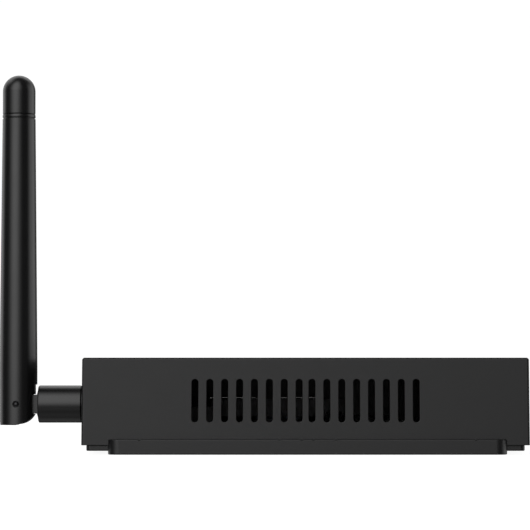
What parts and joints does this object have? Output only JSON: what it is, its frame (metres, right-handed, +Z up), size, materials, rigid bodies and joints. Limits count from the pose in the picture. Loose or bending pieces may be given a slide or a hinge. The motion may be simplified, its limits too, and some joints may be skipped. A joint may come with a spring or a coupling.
{
  "type": "streaming media player",
  "caption": "Flat black set-top box with a louvred side wall, rear and side sockets, a low cradle under it, and a folding, swivelling rod aerial at the rear.",
  "frame": {"origin": "middle of the cradle's flat underside, under the centre of the box", "axes": "+Z up, -Y out of the front with the display window, +Y out of the rear wall with the sockets and the aerial, -X out of the louvred side wall, +X out of the side wall with the USB sockets"},
  "size_m": [0.1202, 0.1375, 0.099],
  "materials": {
    "housing_plastic": "fine satin moulded black",
    "cradle_plastic": "fine satin moulded black",
    "aerial_plastic": "smooth semi-gloss black",
    "window_acrylic": "polished smoked black",
    "foot_rubber": "dull black",
    "circuit_board": "green solder mask",
    "radio_board": "blue solder mask",
    "black_component": "dull black moulding",
    "contact_plastic": "black moulding",
    "white_plastic": "white moulding",
    "led_lens": "clear tinted lens",
    "ribbon_cable": "pale flat cable",
    "thermal_pad": "soft grey-blue",
    "heatsink_aluminium": "extruded, black-anodised",
    "ferrite": "dark sintered",
    "socket_steel": "tin-plated sheet",
    "screw_steel": "zinc-plated",
    "pin_steel": "black-oxide",
    "brass": "turned",
    "cable_jacket": "smooth thin jacket"
  },
  "bodies": {
    "case": {"upper_housing": "housing_plastic", "bottom_cover": "housing_plastic", "base_cradle": "cradle_plastic", "front_window": "window_acrylic", "display_board": "circuit_board", "display_module": "black_component", "ir_receiver": "window_acrylic", "status_led": "led_lens", "display_cable": "ribbon_cable", "main_board": "circuit_board", "processor": "black_component", "thermal_pad": "thermal_pad", "heatsink": "heatsink_aluminium", "memory_chip_left": "black_component", "memory_chip_right": "black_component", "storage_chip": "black_component", "network_transformer": "black_component", "crystal": "socket_steel", "capacitor_left": "black_component", "capacitor_right": "black_component", "power_coil_left": "ferrite", "power_coil_right": "ferrite", "wifi_board": "radio_board", "wifi_shield": "socket_steel", "ethernet_socket": "socket_steel", "hdmi_socket": "socket_steel", "usb_socket_rear": "socket_steel", "usb_socket_front": "socket_steel", "card_socket": "socket_steel", "av_jack": "contact_plastic", "dc_jack": "contact_plastic", "reset_switch": "contact_plastic", "wall_bushing": "aerial_plastic", "bushing_nut": "screw_steel", "antenna_lead": "cable_jacket", "antenna_lead_plug": "brass", "foot_front_left": "foot_rubber", "foot_front_right": "foot_rubber", "foot_rear_left": "foot_rubber", "foot_rear_right": "foot_rubber", "case_screw_front_left": "screw_steel", "case_screw_front_right": "screw_steel", "case_screw_rear_left": "screw_steel", "case_screw_rear_right": "screw_steel", "board_screw_1": "screw_steel", "board_screw_2": "screw_steel", "board_screw_3": "screw_steel", "board_screw_4": "screw_steel"},
    "reset_plunger": {"reset_plunger": "white_plastic"},
    "antenna_swivel": {"swivel_barrel": "aerial_plastic", "swivel_clip": "screw_steel"},
    "antenna_arm": {"antenna_sleeve": "aerial_plastic", "antenna_cap": "aerial_plastic", "antenna_radiator": "brass", "hinge_pin": "pin_steel"}
  },
  "joints": [
    {"name": "antenna_swivel", "type": "hinge", "parent": "case", "child": "antenna_swivel", "pos_m": [-0.0435, 0.0752, 0.01285], "axis": [0, 1, 0], "range_deg": [-90, 90]},
    {"name": "antenna_tilt", "type": "hinge", "parent": "antenna_swivel", "child": "antenna_arm", "pos_m": [-0.0435, 0.0752, 0.01285], "axis": [1, 0, 0], "range_deg": [-90, 0]},
    {"name": "reset_press", "type": "slide", "parent": "case", "child": "reset_plunger", "axis": [0, -1, 0], "range_m": [0, 0.00025], "stiffness_N_per_m": 2000}
  ]
}
